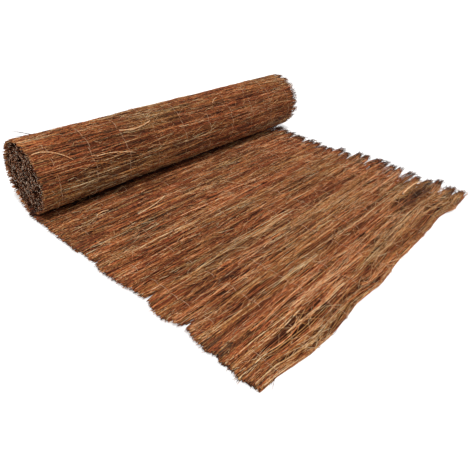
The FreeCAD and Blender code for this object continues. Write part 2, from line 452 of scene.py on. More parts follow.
def kept_in_tuft(x, s, strip, bundle, loose):
    """Draws twigs together into their tuft at the loose end. loose is how far they stray elsewhere."""
    centre = column(strip.centre, bundle)
    towards_end = np.clip((x - column(strip.right, bundle)) / TUFT_REACH + 1, 0, 1)
    off = (s - centre) * (1 - TUFT_PULL * towards_end)
    reach = strip.pitch * (loose + (column(strip.tuft, bundle) / 2 - loose) * towards_end)
    lean = column(strip.lean, bundle) * towards_end ** 2
    return np.maximum(centre + lean + reach * np.tanh(off / reach), strip.least), 1 - towards_end


def fallen_short(strip, s):
    """How far the strands of a tuft fall short of its tip."""
    return RAGGED_END * patches(strip.seed + 7, 0 * s, s, 1.0, RAGGED_WIDTH)


def settled(paths, strip, bundle):
    """Twigs kept in their tuft and clear of the slits, and drawn into strands."""
    x = paths[..., 0]
    s, away_from_end = kept_in_tuft(x, paths[..., 1], strip, bundle, LOOSE_TWIGS)
    shift, rise = gather_into_strands(x, s, strip.seed + 2)
    off = np.clip((s - column(strip.centre, bundle)) / (strip.pitch / 2), -1, 1)
    s = clear_of_slits(x, np.maximum(s + shift * away_from_end, strip.least), strip.slits)
    h = paths[..., 2] + rise * away_from_end - CROWN * off ** 2
    return np.stack([x, s, h], axis=-1)


def twigs_of(rng, strip, branches, kind):
    """The twigs of one kind: paths, radii, and the branch that each belongs to."""
    owner = np.arange(kind.count) % len(branches.bundle)
    bundle = branches.bundle[owner]
    begin = np.maximum(rng.uniform(*kind.begin, kind.count), 0)
    finish = np.minimum(begin + rng.uniform(*kind.share, kind.count), 1.0)
    butt, home = branches.butt[owner], branches.home[owner]
    run = branches.tip[owner] - butt
    short = fallen_short(strip, home + rng.normal(0, 1 * MM, kind.count))
    left = strip.left[bundle] + rng.normal(0, 2.0 * MM, kind.count) + left_outline(strip, home)
    right = strip.right[bundle] - rng.exponential(SHORT_END, kind.count) - short
    start = np.clip(butt + run * begin, left, right)
    end = np.clip(butt + run * finish, left, right)
    keep = np.abs(end - start) > LEAST_TWIG
    owner, bundle, start, end = owner[keep], bundle[keep], start[keep, None], end[keep, None]
    one_each = (len(owner), 1)

    share = shares(kind.spans + 1)
    x = start + (end - start) * share
    s = column(branches.home, owner) + column(branches.slope, owner) * (x - column(branches.middle, owner))
    for length, phase, sway in branches.waves:
        turn = 2 * math.pi * x / column(length, owner) + column(phase, owner)
        s = s + column(sway, owner) * np.sin(turn)
    side = kind.side * rng.uniform(-1, 1, one_each) * column(branches.spread, owner)
    s = s + side * (NARROW_BUTT + (1 - NARROW_BUTT) * share) + rng.normal(0, kind.kink, x.shape)
    radius = rng.uniform(*kind.radius, one_each) * (1 - kind.taper * share)
    lift = kind.lift * rng.uniform(-1, 1, one_each) * np.sin(math.pi * share)
    h = lift - column(branches.depth, owner) - radius + rng.normal(0, 0.35 * kind.kink, x.shape)
    return settled(np.stack([x, s, h], axis=-1), strip, bundle), radius, owner


def shoots_on(rng, strip, branches, paths, owners, kind):
    """Fine shoots that leave twigs and come to lie beside them: paths, radii, and the branch of each."""
    parent = rng.integers(0, len(paths), kind.count)
    step = rng.integers(0, paths.shape[1] - 1, kind.count)
    along = rng.uniform(0, 1, (kind.count, 1))
    root = paths[parent, step] * (1 - along) + paths[parent, step + 1] * along
    owner = owners[parent]
    bundle = branches.bundle[owner]
    heading = np.sign(paths[parent, -1, 0] - paths[parent, 0, 0])
    heading = np.where(rng.uniform(0, 1, kind.count) < WITH_TWIG, heading, -heading)
    angle = np.radians(np.abs(rng.normal(0, kind.angle, kind.count)) + 2)
    wild = rng.uniform(0, 1, kind.count) < WILD_SHARE
    angle = np.where(wild, np.radians(rng.uniform(*WILD_ANGLE, kind.count)), angle)
    to_right = strip.right[bundle] + rng.uniform(-8, 4, kind.count) * MM - root[:, 0]
    to_left = root[:, 0] - strip.left[bundle] + rng.uniform(-2, 5, kind.count) * MM
    length = np.minimum(rng.uniform(*kind.length, kind.count), np.where(heading > 0, to_right, to_left))
    keep = length > LEAST_SHOOT
    root, owner, heading, angle, length = root[keep], owner[keep], heading[keep], angle[keep], length[keep]
    count = len(root)
    side = rng.choice((-1.0, 1.0), count)
    share = shares(kind.spans + 1)
    x = root[:, None, 0] + (heading * length * np.cos(angle))[:, None] * share
    s = root[:, None, 1] + (side * np.sin(angle) * length)[:, None] * (share - 0.3 * share ** 2)
    h = root[:, None, 2] + kind.lift * rng.uniform(-0.2, 1, (count, 1)) * np.sin(math.pi * share * 0.8)
    s = s + rng.normal(0, kind.kink, s.shape)
    radius = rng.uniform(*kind.radius, (count, 1)) * (1 - 0.5 * share)
    s, _ = kept_in_tuft(x, s, strip, branches.bundle[owner], LOOSE_SHOOTS)
    s = clear_of_slits(x, s, strip.slits)
    return np.stack([x, s, h], axis=-1), radius, owner


def coloured(rng, branches, owner, lighter, spread):
    """Each twig's place on the bark's colour ramps, and how red or grey it is."""
    tone = branches.tone[owner] + lighter + rng.normal(0, spread, len(owner))
    cast = branches.cast[owner] + rng.normal(0, 0.10, len(owner))
    return np.clip(tone, 0, 1), np.clip(cast, 0, 1)


# Materials

def set_inputs(made, inputs):
    """Sets a node's inputs to values, or feeds them from sockets."""
    for key, value in inputs.items():
        if isinstance(value, bpy.types.NodeSocket):
            made.id_data.links.new(value, made.inputs[key])
        else:
            made.inputs[key].default_value = value


def node(tree, kind, inputs=None, **properties):
    """A new node with its properties and inputs set."""
    made = tree.nodes.new(kind)
    for key, value in properties.items():
        setattr(made, key, value)
    set_inputs(made, inputs or {})
    return made


def new_material(name, roughness, specular):
    """A new node material, its node tree, and its shader."""
    material = bpy.data.materials.new(name)
    material.use_nodes = True
    shader = material.node_tree.nodes["Principled BSDF"]
    set_inputs(shader, {"Roughness": roughness, "Specular IOR Level": specular})
    return material, material.node_tree, shader


def painted(*stops):
    """Stops of a colour ramp, each its place and its colour as it looks on screen, from 0 to 255."""
    return [(place, [((c / 255 + 0.055) / 1.055) ** 2.4 if c > 10 else c / 255 / 12.92 for c in colour])
            for place, *colour in stops]


RUST_BARK = painted((0.0, 46, 20, 10), (0.18, 91, 42, 23), (0.38, 143, 70, 38), (0.56, 184, 95, 53),
                    (0.74, 214, 125, 67), (0.88, 234, 162, 103), (1.0, 246, 203, 155))
BROWN_BARK = painted((0.0, 45, 24, 12), (0.18, 85, 48, 25), (0.38, 133, 79, 41), (0.56, 173, 107, 57),
                     (0.74, 207, 142, 74), (0.88, 230, 179, 114), (1.0, 246, 216, 170))
GREY_BARK = painted((0.0, 40, 30, 23), (0.20, 77, 59, 43), (0.42, 120, 94, 67), (0.60, 155, 125, 86),
                    (0.80, 192, 162, 118), (1.0, 228, 208, 174))
WEATHERED_WOOD = painted((0.0, 34, 22, 16), (0.5, 66, 42, 28), (0.8, 118, 82, 58), (1.0, 190, 150, 118))
SAWN_WOOD = painted((0.0, 84, 42, 24), (0.4, 176, 100, 62), (0.65, 228, 160, 116), (1.0, 255, 234, 210))
SHADED_BARK = painted((0.35, 36, 18, 10), (0.55, 66, 35, 18), (0.75, 100, 58, 34))
DULL_WIRE = painted((0.35, 198, 144, 102), (0.55, 234, 190, 150), (0.75, 246, 216, 186))
DARK_SPECKLE = ((0.35, (0.35, 0.35, 0.35)), (0.6, (1, 1, 1)))


def ramp(tree, source, stops):
    """A colour ramp fed by a socket."""
    made = node(tree, "ShaderNodeValToRGB", {"Fac": source})
    elements = made.color_ramp.elements
    while len(elements) < len(stops):
        elements.new(0.5)
    for element, (place, colour) in zip(elements, stops):
        element.position = place
        element.color = (*colour, 1)
    return made.outputs["Color"]


def streaks(tree, along, across, detail):
    """Noise drawn out along the twigs, which all run along x."""
    place = node(tree, "ShaderNodeTexCoord").outputs["Object"]
    stretch = node(tree, "ShaderNodeMapping", {"Vector": place, "Scale": (along, across, across)})
    noise = {"Vector": stretch.outputs["Vector"], "Scale": 1.0, "Detail": detail, "Roughness": 0.6}
    return node(tree, "ShaderNodeTexNoise", noise).outputs["Fac"]


def attribute(tree, name):
    """A value that each point of a mesh carries."""
    return node(tree, "ShaderNodeAttribute", attribute_name=name).outputs["Fac"]


def added(tree, noise, amount, base):
    """A value raised and lowered by noise: base + amount * (noise - 0.5)."""
    scaled = node(tree, "ShaderNodeMath", {0: noise, 1: amount, 2: -0.5 * amount}, operation="MULTIPLY_ADD")
    return node(tree, "ShaderNodeMath", {0: scaled.outputs[0], 1: base}, operation="ADD").outputs[0]


def blended(tree, cast, low, high, first, second):
    """One colour that turns into another as the cast goes from low to high."""
    share = node(tree, "ShaderNodeMapRange", {"Value": cast, "From Min": low, "From Max": high})
    mix = node(tree, "ShaderNodeMix", {0: share.outputs[0], 6: first, 7: second}, data_type="RGBA")
    return mix.outputs[2]


def finish(shader, colour, height, distance, strength):
    """Gives a shader its colour, and its relief from a height socket."""
    relief = {"Height": height, "Distance": distance, "Strength": strength}
    bump = node(shader.id_data, "ShaderNodeBump", relief)
    set_inputs(shader, {"Base Color": colour, "Normal": bump.outputs["Normal"]})


def bark_material():
    """Heather bark: each twig has its own tone and cast, with streaks and flakes along it."""
    material, tree, shader = new_material("heather_bark", 0.7, 0.3)
    tone, cast = attribute(tree, "tone"), attribute(tree, "cast")
    tone = added(tree, streaks(tree, 60, 700, 3), 0.7, tone)
    tone = added(tree, streaks(tree, 170, 420, 2), 1.0, tone)
    rust, brown, grey = (ramp(tree, tone, stops) for stops in (RUST_BARK, BROWN_BARK, GREY_BARK))
    colour = blended(tree, cast, 0.15, 0.5, rust, brown)
    colour = blended(tree, cast, 0.5, 0.95, colour, grey)
    finish(shader, colour, streaks(tree, 120, 1600, 4), 0.4 * MM, 0.7)
    return material


def ends_material(name, stops):
    """Cut ends of twigs, with a dark middle here and there."""
    material, tree, shader = new_material(name, 0.85, 0.15)
    speckle = streaks(tree, 700, 1500, 2)
    wood, dark = ramp(tree, attribute(tree, "tone"), stops), ramp(tree, speckle, DARK_SPECKLE)
    mix = node(tree, "ShaderNodeMix", {0: 0.5, 6: wood, 7: dark}, data_type="RGBA", blend_type="MULTIPLY")
    finish(shader, mix.outputs[2], speckle, 0.3 * MM, 0.6)
    return material


def bed_material():
    """The shaded heather below the twigs that show."""
    material, tree, shader = new_material("heather_shaded_bed", 0.9, 0.1)
    streak = streaks(tree, 18, 420, 5)
    finish(shader, ramp(tree, streak, SHADED_BARK), streak, 2.5 * MM, 1.0)
    return material


def wire_material():
    """Dull galvanised wire with a breath of rust."""
    material, tree, shader = new_material("galvanised_wire", 0.45, 0.5)
    blotches = streaks(tree, 160, 160, 3)
    finish(shader, ramp(tree, blotches, DULL_WIRE), blotches, 0.2 * MM, 0.4)
    return material


bark = bark_material()
weathered_ends = ends_material("heather_weathered_ends", WEATHERED_WOOD)
sawn_ends = ends_material("heather_sawn_ends", SAWN_WOOD)
bed = bed_material()
galvanised = wire_material()
WEATHERED = (bark, weathered_ends)
SAWN = (bark, sawn_ends)


def heather(name, parts, node_name, materials=WEATHERED):
    """A finished piece of heather."""
    stands_for(joined(name, parts, materials), node_name)


# Beds under the twigs
LAID_BED_DEPTH = 3.8 * MM
LAID_BED_ENDS = (LAID_LEFT_X + 14 * MM, 0.388)
LAID_BED_UNDERSIDE = 1.5 * MM
BED_SLIT_DEPTH, BED_SLIT_WIDTH = 1.3, 12 * MM   # against a slit's depth, and to each side of it
ROLLED_BED_DEPTH = 5.0 * MM
ROLLED_BED_ENDS = (ROLL_LEFT_X + 16 * MM, HALF_WIDTH - 14 * MM)
ROLLED_BED_BORE = BORE_RADIUS + 1.5 * MM


def in_a_slit(point):
    """Whether a point on the floor lies in one of the slits of the left end."""
    return any(point.x < LAID_LEFT_X + BED_SLIT_DEPTH * depth
               and abs(point.y - FRONT_Y - place) < BED_SLIT_WIDTH for place, depth in LEFT_SLITS)


def laid_bed():
    """A dark, wavy slab below the laid twigs, short of the loose ends."""
    shape = bmesh.new()
    bmesh.ops.create_grid(shape, x_segments=60, y_segments=90, size=1)
    grid = (np.array([vertex.co for vertex in shape.verts]) + 1) / 2
    first, last = LAID_BED_ENDS
    x = first + (last - first) * grid[:, 0]
    s = LAYER / 2 + (LAID_LENGTH - LAYER) * grid[:, 1]
    places = on_floor(np.stack([x, s, np.full_like(x, -LAID_BED_DEPTH)], axis=-1))
    for vertex, place in zip(shape.verts, places):
        vertex.co = place
    cut = [face for face in shape.faces if in_a_slit(face.calc_center_median())]
    bmesh.ops.delete(shape, geom=cut, context="FACES")
    solid = bmesh.ops.extrude_face_region(shape, geom=shape.faces[:])
    for vertex in (part for part in solid["geom"] if isinstance(part, bmesh.types.BMVert)):
        vertex.co.z = LAID_BED_UNDERSIDE + float(corner_lift(vertex.co.x, vertex.co.y - FRONT_Y))
    bmesh.ops.recalc_face_normals(shape, faces=shape.faces[:])
    piece = placed("laid_heather_bed", mesh_from(shape, "laid_heather_bed"), [bed])
    stands_for(piece, "laid_heather")


def rolled_bed():
    """A dark core below the roll's twigs: a tube with the roll's bore."""
    left, right = ROLLED_BED_ENDS
    shape = bmesh.new()
    section = [shape.verts.new((x, 0, MEAN_RADIUS)) for x in np.linspace(left, right, 25)]
    section += [shape.verts.new((x, 0, ROLLED_BED_BORE)) for x in (right, left)]
    edges = [shape.edges.new(pair) for pair in zip(section, section[1:] + section[:1])]
    bmesh.ops.spin(shape, geom=section + edges, axis=(1, 0, 0), cent=(0, 0, 0), angle=2 * math.pi,
                   steps=96, use_merge=True)
    bmesh.ops.remove_doubles(shape, verts=shape.verts[:], dist=0.01 * MM)
    bmesh.ops.recalc_face_normals(shape, faces=shape.faces[:])
    for vertex in shape.verts:
        angle = math.atan2(vertex.co.z, vertex.co.y) % (2 * math.pi)
        if math.hypot(vertex.co.y, vertex.co.z) > 0.9 * MEAN_RADIUS:
            s = (1.5 * math.pi - angle) % (2 * math.pi) * MEAN_RADIUS
            vertex.co = on_roll(np.array([vertex.co.x, s, -ROLLED_BED_DEPTH]))
        else:
            vertex.co += Vector((0, AXIS_Y, MEAN_CENTRE_Z))
    piece = placed("rolled_heather_bed", mesh_from(shape, "rolled_heather_bed"), [bed])
    stands_for(piece, "rolled_heather")


laid_bed()
rolled_bed()


# The laid stretch and the roll, dressed in branches

def laid_tone_and_painted_shade(paths):
    """How much lighter each twig of the laid stretch is: darkest in the trough and below the roll, where the
    darkening is painted shade.
    """
    x, s = paths[..., 0].mean(axis=1), paths[..., 1].mean(axis=1)
    place, width, _ = TROUGH
    first, last = RIDGE_ENDS
    # Painted shade: the darkening in the trough and the darkening below the roll.
    trough_shade = np.exp(-((s - place) / width) ** 2) * beyond(x, first, 0.06) * before(x, last, 0.04)
    shade_below_roll = beyond(s, LAID_LENGTH - 48 * MM, 30 * MM)
    near, far = before(s, 0.26, 0.2), beyond(s, 0.42, 0.2)
    left, right = before(x, -0.15, 0.2), beyond(x, 0.1, 0.3)
    far_corner = beyond(x, 0.2, 0.15) * before(s, 0.24, 0.12)
    lighter = 0.06 + 0.11 * near - 0.08 * far + 0.04 * right
    return lighter - 0.40 * trough_shade - 0.60 * shade_below_roll - 0.05 * left - 0.11 * far_corner


def roll_painted_light_and_shade(paths):
    """How much lighter each twig of the roll is: darkest where the roll meets the laid stretch, which is
    painted shade, with painted light on its top and towards its right end.
    """
    x, s = paths[..., 0].mean(axis=1), paths[..., 1].mean(axis=1)
    # Painted shade where the roll meets the laid stretch; painted light on the roll's top and towards its
    # right end.
    crevice_shade = before(s, 34 * MM, 20 * MM)
    light_on_top = beyond(s, 170 * MM, 70 * MM)
    return 0.06 * light_on_top - 0.03 + 0.04 * beyond(x, 0.05, 0.3) - 0.60 * crevice_shade


def uneven_strip(rng, centre, left, left_uneven, right, right_uneven, wider_tuft, **rest):
    """A strip whose bundles differ in where they end, how far they draw together and how they lean."""
    count = len(centre)
    return Strip(
        centre=centre, pitch=BUNDLE_PITCH, left=left + rng.normal(0, left_uneven, count),
        right=right + rng.normal(0, right_uneven, count),
        tuft=rng.uniform(*TUFT_WIDTH, count) + wider_tuft, lean=rng.normal(0, TUFT_LEAN, count), **rest
    )


uneven = draws("uneven_bundles")
laid_centres = (np.arange(LAID_BUNDLES) + 0.5) * BUNDLE_PITCH
roll_angles = np.concatenate([np.linspace(0, math.pi, FRONT_BUNDLES + 1),
                              np.linspace(math.pi, 2 * math.pi, BACK_BUNDLES + 1)[1:]])
LAID = uneven_strip(uneven, laid_centres, LAID_LEFT_X, 1.0 * MM, through(RIGHT_TIPS, laid_centres) + 4 * MM,
                    7 * MM, wider_tuft=0, slits=LEFT_SLITS, seed=SEEDS["laid_patches"], least=1 * MM,
                    wrap=on_floor, node="laid_heather", light=laid_tone_and_painted_shade)
ROLL = uneven_strip(uneven, roll_angles * MEAN_RADIUS, ROLL_LEFT_X, 1.5 * MM, ROLL_RIGHT_X, 5 * MM,
                    wider_tuft=ROLL_TUFT_WIDER, slits=(), seed=SEEDS["roll_patches"], least=-20 * MM,
                    wrap=on_roll, node="rolled_heather", light=roll_painted_light_and_shade)
FRONT_EDGE = LAID._replace(
    left=LAID.left[:1], right=LAID.right[:1], centre=np.array([10 * MM]), pitch=20 * MM, slits=(),
    seed=SEEDS["front_edge_patches"], least=-20 * MM, tuft=np.array([0.6]), lean=np.array([0.0]),
    wrap=on_front_edge,
)

LAID_BRANCHES, UNDERSIDE_BRANCHES, ROLL_BRANCHES, EDGE_BRANCHES = 760, 300, 620, 26
STEMS = Kind(count=LAID_BRANCHES, begin=(0, 0), share=(0.85, 1.0), side=0.0, lift=0.4 * MM,
             radius=(0.8 * MM, 1.5 * MM), taper=0.55, sides=4, spans=5, kink=0.5 * MM)
TWIGS = Kind(count=4600, begin=(-0.3, 0.7), share=(0.3, 0.6), side=1.0, lift=1.0 * MM,
             radius=(0.5 * MM, 1.1 * MM), taper=0.5, sides=3, spans=5, kink=0.7 * MM)
SHOOTS = Shoots(count=12000, length=(0.015, 0.07), radius=(0.36 * MM, 0.72 * MM), sides=3, spans=3,
                angle=15, lift=2.2 * MM, kink=0.75 * MM)

# The even layer of twigs just below those that show
UNDER_ROW = 2.3 * MM                    # between two rows of them
UNDER_PER_ROW = 4                       # twigs from end to end of a row
UNDER_OVERLAP = 1.3                     # each one's length, against its share of the row
UNDER_DEPTH = (2.6 * MM, 4.0 * MM)
UNDER_RADIUS = (1.0 * MM, 1.6 * MM)
UNDER_LAID_ENDS = (LAID_LEFT_X + 8 * MM, 0.425)
UNDER_ROLL_ENDS = (ROLL_LEFT_X + 4 * MM, HALF_WIDTH - 12 * MM)


def under_layer(name, strip, s_last, ends):
    """Evenly laid twigs just below those that show, so that no gap shows the bed."""
    rng = draws(name)
    x_first, x_last = ends
    rows = round(s_last / UNDER_ROW)
    count = UNDER_PER_ROW * rows
    spacing = (x_last - x_first) / UNDER_PER_ROW
    row = np.repeat(np.arange(rows), UNDER_PER_ROW)
    s = (row + rng.uniform(0.1, 0.9, count)) * s_last / rows
    place = np.tile(np.arange(UNDER_PER_ROW), rows) * spacing
    x = x_first + place + rng.uniform(-0.3, 0.1, count) * spacing
    last = x_last - rng.exponential(9 * MM, (count, 1))
    x = np.clip(x[:, None] + UNDER_OVERLAP * spacing * shares(4), x_first, last)
    s = s[:, None] + rng.normal(0, 0.8 * MM, x.shape)
    h = -rng.uniform(*UNDER_DEPTH, (count, 1)) - CROWN / 2 + 0 * x
    paths = np.stack([x, clear_of_slits(x, np.maximum(s, strip.least), strip.slits), h], axis=-1)
    radii = rng.uniform(*UNDER_RADIUS, (count, 1)) + 0 * x
    tone = np.clip(rng.normal(0.36, 0.13, count) + strip.light(paths), 0, 1)
    heather(name, [twigs(paths, radii, tone, rng.uniform(0.1, 0.75, count), 3, strip.wrap)], strip.node)


def darker_tips(part, strip):
    """The laid stretch's twigs, dark towards the tips of their tufts."""
    if strip is not LAID:
        return part
    tips = through(RIGHT_TIPS, np.clip(part.points[:, 1] - FRONT_Y, 0, LAID_LENGTH))
    return part._replace(tone=part.tone - 0.55 * beyond(part.points[:, 0], tips - 52 * MM, 50 * MM))


def turned(paths):
    """The same twigs on the underside of the laid stretch."""
    return np.stack([paths[..., 0], paths[..., 1], -LAYER - paths[..., 2]], axis=-1)


def dress(name, strip, branch_count, stems, twig_kind, shoots, turned_over=False):
    """Covers a strip with branches: their stems, twigs and shoots as three pieces."""
    rng = draws(name)
    branches = grow_branches(rng, strip, branch_count)
    for kind, what in ((stems, "_stems"), (twig_kind, "_twigs")):
        paths, radii, owner = twigs_of(rng, strip, branches, kind)
        tone, cast = coloured(rng, branches, owner, strip.light(paths), TWIG_TONES)
        part = twigs(turned(paths) if turned_over else paths, radii, tone, cast, kind.sides, strip.wrap)
        heather(name + what, [darker_tips(part, strip)], strip.node)
    if shoots.count:
        paths, radii, owner = shoots_on(rng, strip, branches, paths, owner, shoots)
        tone, cast = coloured(rng, branches, owner, 0.06 + strip.light(paths), SHOOT_TONES)
        part = twigs(paths, radii, tone, cast, shoots.sides, strip.wrap, pointed=True)
        heather(name + "_shoots", [darker_tips(part, strip)], strip.node)


dress("laid", LAID, LAID_BRANCHES, STEMS, TWIGS, SHOOTS)
dress("laid_underside", LAID, UNDERSIDE_BRANCHES, STEMS._replace(count=UNDERSIDE_BRANCHES),
      TWIGS._replace(count=600), SHOOTS._replace(count=0), turned_over=True)
dress("roll", ROLL, ROLL_BRANCHES, STEMS._replace(count=ROLL_BRANCHES), TWIGS._replace(count=3700),
      SHOOTS._replace(count=9400, angle=18, kink=0.9 * MM))
under_layer("laid_under_layer", LAID, LAID_LENGTH, UNDER_LAID_ENDS)
under_layer("roll_under_layer", ROLL, ROUND_ROLL, UNDER_ROLL_ENDS)
dress("front_edge", FRONT_EDGE, EDGE_BRANCHES, STEMS._replace(count=EDGE_BRANCHES),
      TWIGS._replace(count=150), SHOOTS._replace(count=260))


# The ends of the roll and of the laid stretch
TURN_GAP = 0.08            # from a turn's edge to its outermost twigs, against its thickness
END_INSET = 3.8 * MM       # from the roll's outside to the twigs of its ends
# The sawn twigs: how many, how thick, and the share of them that is pale
SAWN_TWIGS = ((1500, (1.0 * MM, 1.8 * MM), 0.55), (2600, (0.5 * MM, 1.1 * MM), 0.45))
SAWN_PIT = 10 * MM         # how far in some of them are cut
SAWN_LENGTH = 26 * MM
LOOSE_ENDS = (2700, (0.6 * MM, 1.4 * MM))   # the twigs of the loose end: how many, and how thick
LOOSE_ROOT_X = HALF_WIDTH - 45 * MM
BUTTS_BY_CORNER, BUTTS_ELSEWHERE = 300, 560
THICK_CORNER, PAINTED_SHADE_CORNER = 0.14, 0.135   # where along s the corner's thick butts, and its butts in painted shade, stop
BUTT_LENGTH = 35 * MM
TIPS_PER_BUNDLE = 30
TIP_LENGTH = 75 * MM
FRINGE_LENGTH = (10 * MM, 28 * MM)
FRINGE_PAST_END = (-22 * MM, 11 * MM)
FRINGE_ANGLE = math.radians(18)
RIM_DEPTH = (0.8 * MM, 3.4 * MM)
ROLL_RIM = Rim(count=900, left_x=ROLL_LEFT_X, s=(0, ROUND_ROLL), ragged=2.4 * MM,
               length=(40 * MM, 120 * MM), drift=3.5 * MM, kink=0.5 * MM, slope=1.5 * MM,
               radius=(0.6 * MM, 1.25 * MM), tone=0.50, cast=(0.1, 0.7))
LAID_RIM = Rim(count=620, left_x=LAID_LEFT_X, s=(1 * MM, LAID_LENGTH), ragged=2.6 * MM,
               length=(40 * MM, 110 * MM), drift=3.0 * MM, kink=0.6 * MM, slope=1.2 * MM,
               radius=(0.5 * MM, 1.15 * MM), tone=0.48, cast=(0.0, 0.7))


def end_places(rng, count, radius):
    """Twigs packed over the roll's section, with a thin gap between its turns: y, z and radius of each."""
    radii = rng.uniform(*radius, count)
    span = np.sqrt(rng.uniform((BORE_RADIUS / MEAN_RADIUS) ** 2, 1, count)) * MEAN_RADIUS
    angle = rng.uniform(0, 2 * math.pi, count)
    turn = ((MEAN_RADIUS - span) / LAYER + angle / (2 * math.pi)) % 1.0
    keep = (turn > TURN_GAP) & (turn < 1 - TURN_GAP) & (span > BORE_RADIUS + radii)
    radii, span, angle = radii[keep], span[keep], angle[keep]
    front = np.cos(angle) < 0
    outside = np.where(front, FRONT_RADIUS, BACK_RADIUS) - END_INSET
    centre_z = np.where(front, FRONT_CENTRE_Z, BACK_CENTRE_Z)
    span = span * outside / MEAN_RADIUS
    return AXIS_Y + span * np.cos(angle), centre_z + span * np.sin(angle), radii


def drifting(x, y, z, drift, share):
    """Paths along x from places on the roll's end, each drifting off its line as share grows."""
    return np.stack([x, y[:, None] + drift[:, :1] * share, z[:, None] + drift[:, 1:] * share], axis=-1)


def left_ends():
    """The sawn left end of the roll: blunt twig ends over the whole section, pale wood among dark bark,
    whose darkness is painted shade.
    """
    rng = draws("roll_left_sawn_ends")
    parts = []
    for count, radius, pale_share in SAWN_TWIGS:
        y, z, radii = end_places(rng, count, radius)
        count = len(y)
        pit = SAWN_PIT * patches(SEEDS["sawn_pits"], y, z, 0.014, 0.014) ** 2
        tip = ROLL_LEFT_X + np.abs(rng.normal(0, 1.5 * MM, count)) + pit
        share = shares(2)
        x = tip[:, None] + SAWN_LENGTH * share
        paths = drifting(x, y, z, rng.normal(0, 1.0 * MM, (count, 2)), share)
        from_middle = np.hypot(y - AXIS_Y, z - BACK_CENTRE_Z) / MEAN_RADIUS
        # The pale ends' clumps are the wood's own; their rise towards the middle of the section, and fall
        # towards its rim, is painted light.
        clumps_and_painted_light = patches(SEEDS["pale_clumps"], y, z, 0.02, 0.02) - 0.5 + 0.4 * (0.6 - from_middle)
        pale = rng.uniform(0, 1, count) < pale_share + 0.5 * clumps_and_painted_light
        tone = np.where(pale, 1 - 0.45 * rng.uniform(0, 1, count) ** 1.6, rng.uniform(0.1, 0.6, count))
        widths = np.repeat(radii[:, None], 2, axis=1)
        parts.append(twigs(paths, widths, tone, rng.uniform(0.1, 0.7, count), 4, in_place))
    # The twigs' sides take the bed's painted shade, and their cut ends the sawn wood.
    heather("roll_left_sawn_ends", parts, "rolled_heather", (bed, sawn_ends))


def left_rim(name, strip, kind):
    """The outermost twigs of a strip at its left end, cut off in one line."""
    rng = draws(name)
    one_each = (kind.count, 1)
    s = rng.uniform(*kind.s, one_each)
    share = shares(4)
    tip = kind.left_x + left_outline(strip, s) + rng.normal(0, kind.ragged, one_each)
    x = tip + rng.uniform(*kind.length, one_each) * share
    s = s + rng.normal(0, kind.drift, one_each) * share + rng.normal(0, kind.kink, x.shape)
    h = -rng.uniform(*RIM_DEPTH, one_each) - kind.slope * share
    radii = rng.uniform(*kind.radius, one_each) * (1 - 0.4 * share)
    paths = np.stack([x, clear_of_slits(x, np.maximum(s, strip.least), strip.slits), h], axis=-1)
    tone = np.clip(rng.normal(kind.tone, 0.22, kind.count) + strip.light(paths), 0, 1)
    cast = rng.uniform(*kind.cast, kind.count)
    heather(name, [twigs(paths, radii, tone, cast, 3, strip.wrap)], strip.node)


def right_ends():
    """The loose right end of the roll: thinner twigs of uneven reach."""
    rng = draws("roll_right_loose_ends")
    y, z, radii = end_places(rng, *LOOSE_ENDS)
    count = len(y)
    tip = ROLL_RIGHT_X + 6 * MM - rng.exponential(9 * MM, count)
    share = shares(3)
    x = LOOSE_ROOT_X + (tip - LOOSE_ROOT_X)[:, None] * share
    paths = drifting(x, y, z, rng.normal(0, 2.2 * MM, (count, 2)), share ** 2)
    paths[..., 2] = np.maximum(paths[..., 2], 1.0 * MM)
    tone, cast = np.clip(rng.normal(0.36, 0.2, count), 0, 1), rng.uniform(0.2, 0.8, count)
    part = twigs(paths, radii[:, None] * (1 - 0.5 * share), tone, cast, 3, in_place)
    heather("roll_right_loose_ends", [part], "rolled_heather")


def laid_butts():
    """Blunt, dark butt ends through the mat's thickness at the left end, thickest by the near corner, where
    painted shade makes them darker still.
    """
    rng = draws("laid_left_butts")
    s = np.concatenate([rng.uniform(3 * MM, 0.13, BUTTS_BY_CORNER),
                        rng.uniform(0.1, LAID_LENGTH, BUTTS_ELSEWHERE)])
    count = len(s)
    radii = np.where(s < THICK_CORNER, rng.uniform(1.1, 2.2, count), rng.uniform(0.7, 1.4, count)) * MM
    h = -rng.uniform(3.0 * MM, LAYER - 1.2 * MM, count)
    uneven_cut = np.abs(rng.normal(0, 2.5 * MM, count)) + 3 * MM * rng.uniform(-1, 1, count)
    share = shares(3)
    x = (through(LEFT_EDGE, s) + uneven_cut)[:, None] + BUTT_LENGTH * share
    drift = rng.normal(0, 2.0 * MM, (count, 1))
    across = clear_of_slits(x, s[:, None] + drift * share, LEFT_SLITS)
    paths = np.stack([x, across, h[:, None] + 0 * x], axis=-1)
    # The butts by the near corner are darker: painted shade.
    shaded_by_corner, elsewhere = rng.uniform(0.05, 0.40, count), rng.uniform(0.05, 0.6, count)
    tone, cast = np.where(s < PAINTED_SHADE_CORNER, shaded_by_corner, elsewhere), rng.uniform(0.2, 0.8, count)
    part = twigs(paths, np.repeat(radii[:, None], 3, axis=1), tone, cast, 4, on_floor)
    heather("laid_left_butts", [part], "laid_heather")


